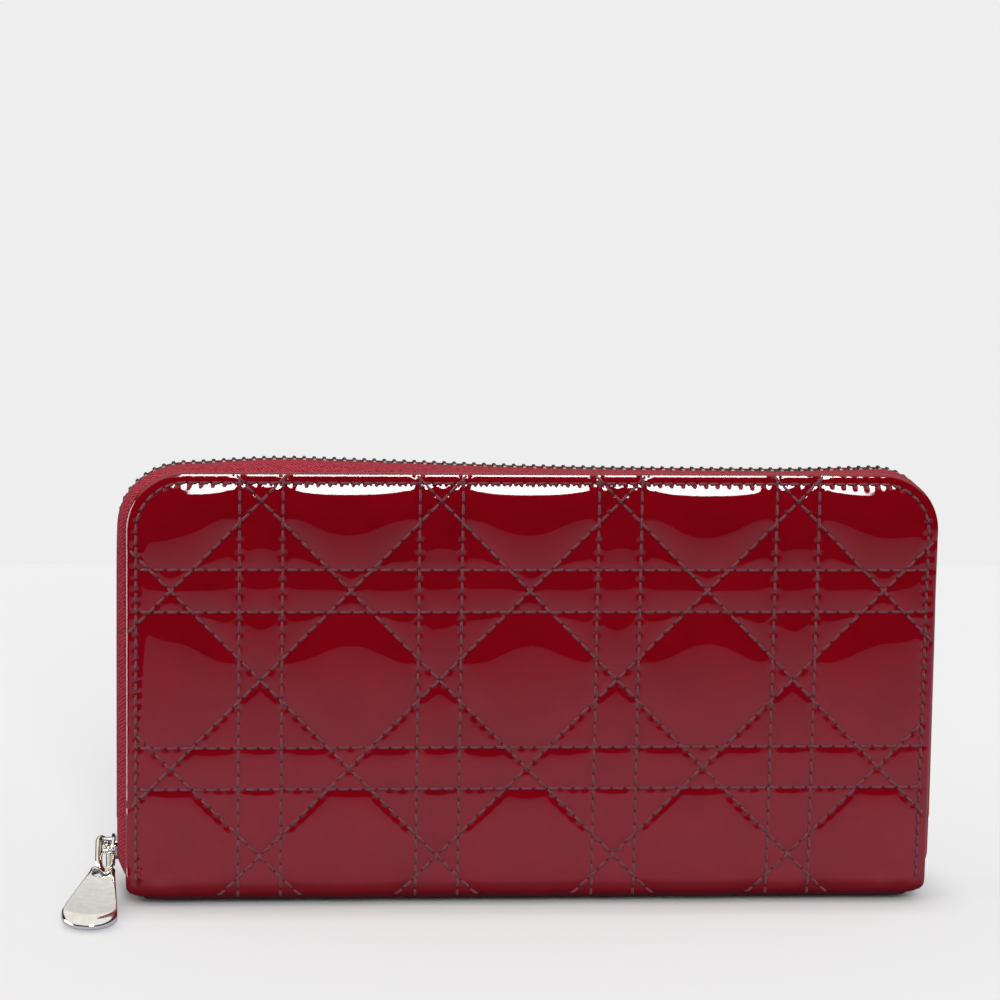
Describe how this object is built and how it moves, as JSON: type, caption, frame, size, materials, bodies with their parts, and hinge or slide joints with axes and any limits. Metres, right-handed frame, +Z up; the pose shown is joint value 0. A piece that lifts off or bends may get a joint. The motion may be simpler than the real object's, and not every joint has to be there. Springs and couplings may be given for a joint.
{
  "type": "long wallet",
  "caption": "Zip-around long wallet of quilted patent leather with a metal zip, a pull tab, card rows, two banknote compartments and a zipped coin pocket.",
  "frame": {"origin": "centre of the flat underside of the spine, which the closed wallet stands on", "axes": "+X along the wallet's length, from the pull tab's end to the other; -Y out of the front cover; +Z up from the spine to the zip"},
  "size_m": [0.2103, 0.0465, 0.1084],
  "materials": {
    "patent_leather": "deep red patent leather, high gloss, quilted",
    "calf_leather": "smooth dyed calf, satin",
    "lining_cloth": "woven twill lining",
    "foam": "thin felted padding",
    "fibreboard": "bonded fibreboard",
    "zip_tape": "woven polyester zip tape",
    "zip_metal": "silver-plated zip teeth",
    "polished_metal": "polished silver plate",
    "nylon": "moulded nylon coil"
  },
  "bodies": {
    "root": {"spine_leather": "patent_leather", "spine_stiffener": "fibreboard", "spine_lining": "lining_cloth", "pocket_base": "calf_leather", "zip_end_tape_left_front": "zip_tape", "zip_end_tape_left_back": "zip_tape", "zip_end_tape_right_front": "zip_tape", "zip_end_tape_right_back": "zip_tape", "zip_end_teeth_left_front": "zip_metal", "zip_end_teeth_left_back": "zip_metal", "zip_end_teeth_right_front": "zip_metal", "zip_end_teeth_right_back": "zip_metal", "zip_stop_left_front": "zip_metal", "zip_stop_left_back": "zip_metal", "zip_stop_right_front": "zip_metal", "zip_stop_right_back": "zip_metal", "gusset_front_left": "calf_leather", "gusset_front_right": "calf_leather", "gusset_back_left": "calf_leather", "gusset_back_right": "calf_leather", "coin_pocket_front": "calf_leather", "coin_pocket_back": "calf_leather", "coin_pocket_gusset": "calf_leather", "coin_zip_tape_front": "zip_tape", "coin_zip_tape_back": "zip_tape", "coin_zip_coil_front": "nylon", "coin_zip_coil_back": "nylon", "coin_zip_stop_left": "zip_metal", "coin_zip_stop_right": "zip_metal"},
    "front_half": {"front_cover": "patent_leather", "front_padding": "foam", "front_board": "fibreboard", "front_lining": "lining_cloth", "front_card_pocket_1": "calf_leather", "front_card_pocket_2": "calf_leather", "front_card_pocket_3": "calf_leather", "front_card_pocket_4": "calf_leather", "front_zip_tape": "zip_tape", "front_zip_teeth": "zip_metal"},
    "back_half": {"back_cover": "patent_leather", "back_padding": "foam", "back_board": "fibreboard", "back_lining": "lining_cloth", "back_card_pocket_1": "calf_leather", "back_card_pocket_2": "calf_leather", "back_card_pocket_3": "calf_leather", "back_card_pocket_4": "calf_leather", "back_zip_tape": "zip_tape", "back_zip_teeth": "zip_metal"},
    "front_divider": {"front_divider": "calf_leather"},
    "back_divider": {"back_divider": "calf_leather"},
    "zip_slider": {"zip_slider": "polished_metal"},
    "pull_link": {"pull_link": "polished_metal"},
    "pull_tab": {"pull_tab": "polished_metal"},
    "coin_slider": {"coin_slider": "polished_metal"},
    "coin_pull": {"coin_pull": "polished_metal"}
  },
  "joints": [
    {"name": "front_open", "type": "hinge", "parent": "root", "child": "front_half", "pos_m": [0, -0.013, 0.00415], "axis": [1, 0, 0], "range_deg": [0, 45], "deforming": ["gusset_front_left", "gusset_front_right"]},
    {"name": "back_open", "type": "hinge", "parent": "root", "child": "back_half", "pos_m": [0, 0.013, 0.00415], "axis": [1, 0, 0], "range_deg": [-45, 0], "deforming": ["gusset_back_left", "gusset_back_right"]},
    {"name": "front_divider_lean", "type": "hinge", "parent": "root", "child": "front_divider", "pos_m": [0, -0.00315, 0.0045], "axis": [1, 0, 0], "range_deg": [0, 22.5], "deforming": ["gusset_front_left", "gusset_front_right"]},
    {"name": "back_divider_lean", "type": "hinge", "parent": "root", "child": "back_divider", "pos_m": [0, 0.00315, 0.0045], "axis": [1, 0, 0], "range_deg": [-22.5, 0], "deforming": ["gusset_back_left", "gusset_back_right"]},
    {"name": "zip_slide", "type": "slide", "parent": "root", "child": "zip_slider", "axis": [0, 0, 1], "range_m": [0, 0.064]},
    {"name": "link_swing", "type": "hinge", "parent": "zip_slider", "child": "pull_link", "pos_m": [-0.1013, 0, 0.0118], "axis": [-1, 0, 0], "range_deg": [0, 44]},
    {"name": "tab_swing", "type": "hinge", "parent": "pull_link", "child": "pull_tab", "pos_m": [-0.1013, -0.00502, 0.00956], "axis": [-1, 0, 0], "range_deg": [0, 45]},
    {"name": "coin_zip_slide", "type": "slide", "parent": "root", "child": "coin_slider", "axis": [1, 0, 0], "range_m": [0, 0.136]},
    {"name": "coin_pull_swing", "type": "hinge", "parent": "coin_slider", "child": "coin_pull", "pos_m": [-0.06925, 0, 0.0877], "axis": [0, -1, 0], "range_deg": [0, 95]}
  ],
  "couplings": [
    {"joint": "back_open", "follows": "front_open", "ratio": -1},
    {"joint": "front_divider_lean", "follows": "front_open", "ratio": 0.5},
    {"joint": "back_divider_lean", "follows": "front_open", "ratio": -0.5}
  ]
}
